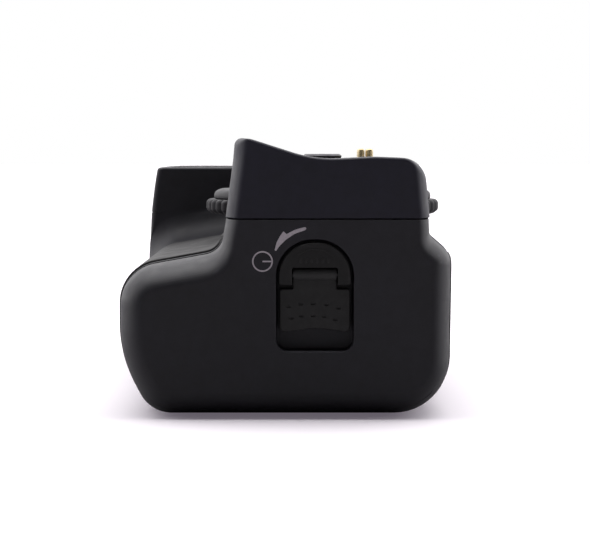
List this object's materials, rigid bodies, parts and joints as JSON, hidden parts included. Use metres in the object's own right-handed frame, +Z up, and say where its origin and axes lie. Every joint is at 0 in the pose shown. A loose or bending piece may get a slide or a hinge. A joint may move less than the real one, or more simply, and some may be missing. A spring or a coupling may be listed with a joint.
{
  "type": "camera battery grip with wireless flash trigger",
  "caption": "Vertical camera grip that clamps under a camera with a knurled wheel, holds a sliding battery magazine with a fold-out key, and has a flash-trigger radio inside.",
  "frame": {"origin": "centre of the bounding box on the grip's flat base", "axes": "+X along the grip towards the end cover of the magazine, -Y towards the lens side with the finger bulge, +Z up towards the camera"},
  "size_m": [0.15, 0.0728, 0.0585],
  "materials": {
    "shell_plastic": "soft-touch matt black",
    "skin_rubber": "fine-grained black rubber",
    "key_plastic": "satin black",
    "wheel_plastic": "satin black",
    "inner_plastic": "moulded black",
    "black_steel": "black oxide",
    "bright_steel": "nickel plated",
    "gold": "gold plated",
    "brass": "turned",
    "circuit_board": "green solder mask",
    "chip_black": "moulded",
    "battery_wrap": "printed sleeve, plain grey",
    "light_lens": "clear red"
  },
  "bodies": {
    "housing": {"lower_shell": "shell_plastic", "upper_shell": "shell_plastic", "tower_cap": "shell_plastic", "tower_pad": "skin_rubber", "platform_pad": "skin_rubber", "front_grip_rubber": "skin_rubber", "rear_grip_rubber": "skin_rubber", "base_plate": "black_steel", "tripod_socket": "brass", "base_screws": "black_steel", "wheel_bush": "brass", "contact_block": "inner_plastic", "guide_pin": "black_steel", "battery_sleeve": "inner_plastic", "mouth_frame": "inner_plastic", "front_dial_pin": "black_steel", "front_dial_bracket": "black_steel", "rear_dial_pin": "black_steel", "rear_dial_bracket": "black_steel", "release_collar": "black_steel", "release_switch": "inner_plastic", "control_panel": "shell_plastic", "status_light": "light_lens", "switch_board": "circuit_board", "main_board": "circuit_board", "board_chips": "chip_black", "board_posts": "bright_steel", "radio_board": "circuit_board", "radio_posts": "bright_steel", "radio_shield": "bright_steel", "antenna": "circuit_board", "battery_terminals": "bright_steel"},
    "lock_wheel": {"lock_wheel_rim": "wheel_plastic", "lock_wheel_hub": "wheel_plastic", "lock_wheel_cap": "wheel_plastic", "camera_screw": "black_steel", "screw_clip": "black_steel"},
    "magazine": {"end_cover": "shell_plastic", "magazine_frame": "inner_plastic", "battery_cells": "battery_wrap", "magazine_springs": "bright_steel", "magazine_contacts": "bright_steel", "latch_key": "key_plastic", "latch_pin": "black_steel", "latch_cam": "black_steel", "cam_screw": "black_steel"},
    "tab": {"latch_tab": "key_plastic"},
    "contacts": {"contact_pins": "gold"},
    "release": {"release_button": "bright_steel"},
    "release_lock": {"release_lock_ring": "key_plastic"},
    "front_wheel": {"front_dial": "wheel_plastic"},
    "rear_wheel": {"rear_dial": "wheel_plastic"},
    "exposure_lock": {"exposure_lock_button": "key_plastic"},
    "focus": {"focus_button": "key_plastic"},
    "test": {"test_button": "key_plastic"},
    "channel": {"channel_dial": "key_plastic"},
    "power": {"power_switch": "key_plastic"}
  },
  "joints": [
    {"name": "wheel_turn", "type": "hinge", "parent": "housing", "child": "lock_wheel", "pos_m": [0.014, 0.0085, 0.044], "axis": [0, 0, 1], "continuous": true},
    {"name": "magazine_slide", "type": "slide", "parent": "housing", "child": "magazine", "axis": [1, 0, 0], "range_m": [0, 0.115]},
    {"name": "tab_fold", "type": "hinge", "parent": "magazine", "child": "tab", "pos_m": [0.0735, 0.00615, 0.0302], "axis": [0, -1, 0], "range_deg": [0, 90]},
    {"name": "contact_press", "type": "slide", "parent": "housing", "child": "contacts", "axis": [0, 0, -1], "range_m": [0, 0.0015], "stiffness_N_per_m": 400, "springref_m": -0.002},
    {"name": "release_press", "type": "slide", "parent": "housing", "child": "release", "axis": [1, 0, 0], "range_m": [0, 0.0012], "stiffness_N_per_m": 400, "springref_m": -0.001},
    {"name": "release_lock_turn", "type": "hinge", "parent": "housing", "child": "release_lock", "pos_m": [-0.074, -0.014, 0.021], "axis": [1, 0, 0], "range_deg": [0, 40]},
    {"name": "front_dial_turn", "type": "hinge", "parent": "housing", "child": "front_wheel", "pos_m": [-0.061, -0.0279, 0.022], "axis": [1, 0, 0], "continuous": true},
    {"name": "rear_dial_turn", "type": "hinge", "parent": "housing", "child": "rear_wheel", "pos_m": [-0.061, 0.0279, 0.022], "axis": [1, 0, 0], "continuous": true},
    {"name": "exposure_lock_press", "type": "slide", "parent": "housing", "child": "exposure_lock", "axis": [0, -1, 0], "range_m": [0, 0.0008], "stiffness_N_per_m": 400, "springref_m": -0.001},
    {"name": "focus_press", "type": "slide", "parent": "housing", "child": "focus", "axis": [0, -1, 0], "range_m": [0, 0.0008], "stiffness_N_per_m": 400, "springref_m": -0.001},
    {"name": "test_press", "type": "slide", "parent": "housing", "child": "test", "axis": [0, -1, 0], "range_m": [0, 0.0008], "stiffness_N_per_m": 400, "springref_m": -0.001},
    {"name": "channel_turn", "type": "hinge", "parent": "housing", "child": "channel", "pos_m": [0.025, 0.0356, 0.0215], "axis": [0, 1, 0], "range_deg": [0, 315]},
    {"name": "power_slide", "type": "slide", "parent": "housing", "child": "power", "axis": [1, 0, 0], "range_m": [0, 0.004]}
  ]
}
